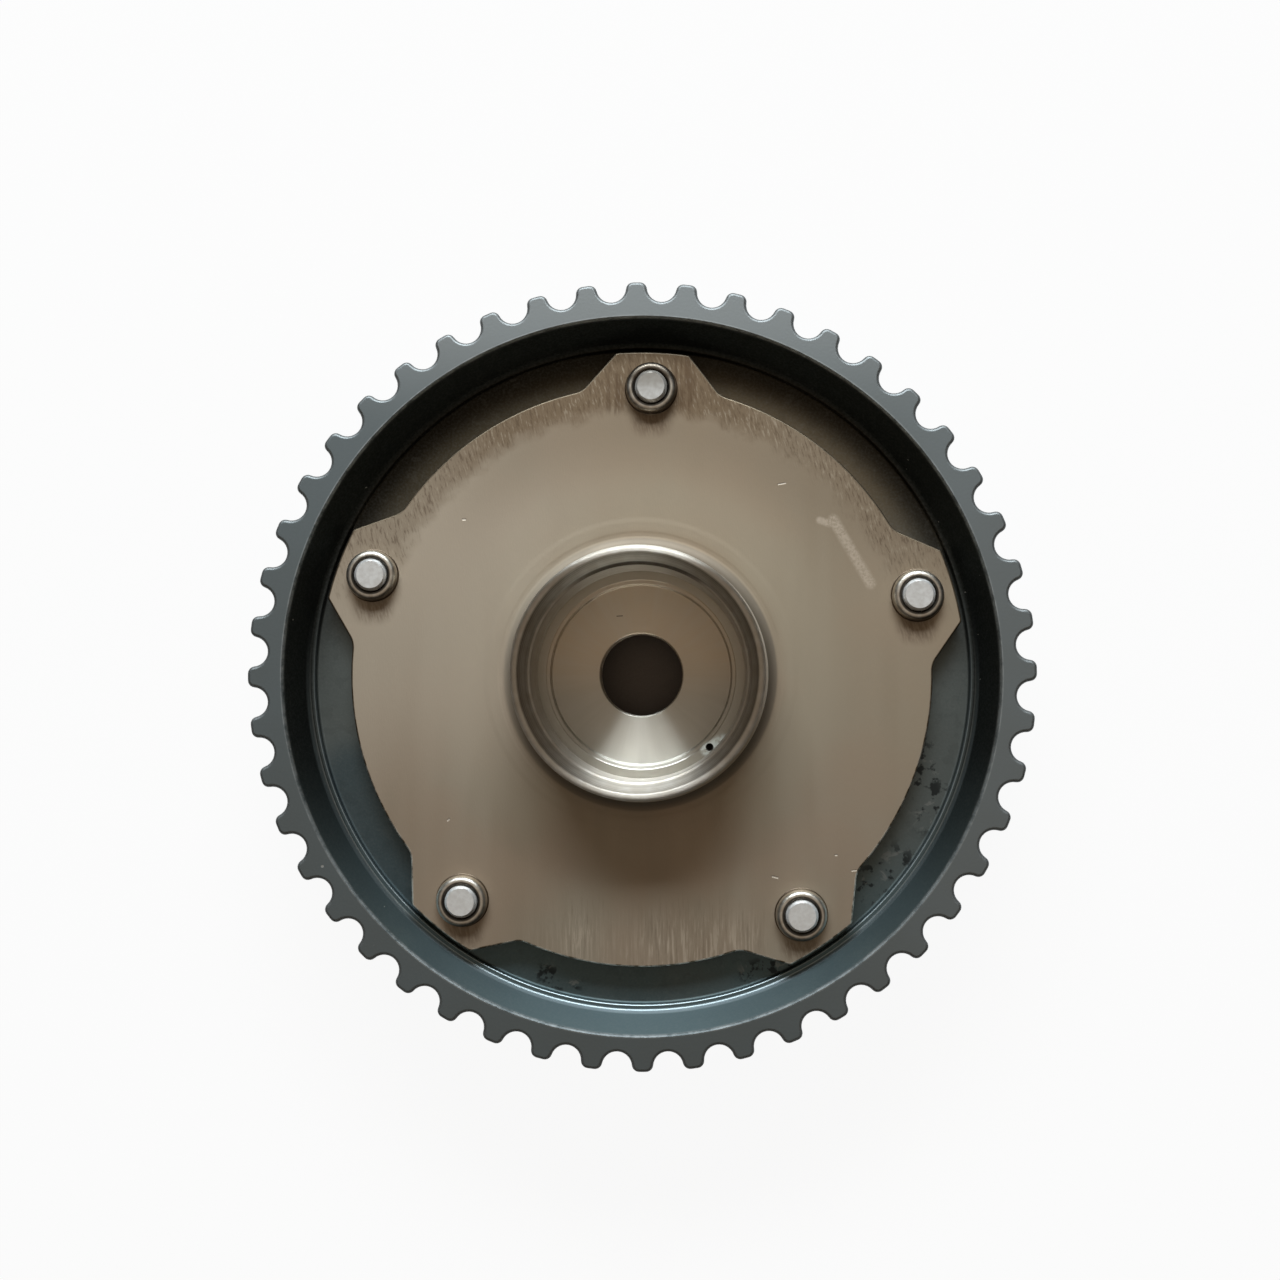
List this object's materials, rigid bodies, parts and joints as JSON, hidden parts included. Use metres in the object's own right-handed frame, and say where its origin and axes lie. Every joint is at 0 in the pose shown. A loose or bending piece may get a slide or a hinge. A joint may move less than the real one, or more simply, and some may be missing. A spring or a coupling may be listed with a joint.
{
  "type": "cam phaser",
  "caption": "Vane-type cam phaser with a toothed belt pulley, a lobed rear cover with a tubular neck, and a rotor that turns the camshaft against the pulley.",
  "frame": {"origin": "on the phaser's axis, in the plane of the pulley's front face, on which it stands", "axes": "+Z along the axis towards the camshaft side, so the neck points up"},
  "size_m": [0.1208, 0.1208, 0.036],
  "materials": {
    "sintered_steel": "steam-blued sintered steel, satin",
    "rear_cover_steel": "bare steel, satin, rubbed and lightly stained",
    "front_cover_steel": "bare steel, satin",
    "screw_zinc": "zinc plated",
    "seal_rubber": "black rubber",
    "plug_steel": "phosphated, dark satin",
    "hardened_steel": "ground",
    "rotor_steel": "fine turned",
    "vane_steel": "ground",
    "spring_steel": "oiled spring steel",
    "seat_plastic": "moulded, matte"
  },
  "bodies": {
    "housing": {"pulley_stator": "sintered_steel", "rear_cover": "rear_cover_steel", "front_cover": "front_cover_steel", "cover_screw_1": "screw_zinc", "cover_screw_2": "screw_zinc", "cover_screw_3": "screw_zinc", "cover_screw_4": "screw_zinc", "cover_screw_5": "screw_zinc", "rear_seal_ring": "seal_rubber", "front_seal_ring": "seal_rubber", "closure_plug": "plug_steel", "plug_seal_ring": "seal_rubber", "lock_bush": "hardened_steel"},
    "rotor": {"rotor": "rotor_steel", "vane_1": "vane_steel", "vane_2": "vane_steel", "vane_3": "vane_steel", "vane_4": "vane_steel", "vane_5": "vane_steel", "vane_spring_1": "spring_steel", "vane_spring_2": "spring_steel", "vane_spring_3": "spring_steel", "vane_spring_4": "spring_steel", "vane_spring_5": "spring_steel", "lock_spring_seat": "seat_plastic", "lock_pin_spring": "spring_steel"},
    "lock_pin": {"lock_pin": "hardened_steel"}
  },
  "joints": [
    {"name": "rotor_phase", "type": "hinge", "parent": "housing", "child": "rotor", "pos_m": [0, 0, 0.0132], "axis": [0, 0, -1], "range_deg": [0, 30]},
    {"name": "lock_slide", "type": "slide", "parent": "rotor", "child": "lock_pin", "axis": [0, 0, -1], "range_m": [0, 0.0024], "stiffness_N_per_m": 1200, "springref_m": 0.0065, "deforming": ["lock_pin_spring"]}
  ]
}
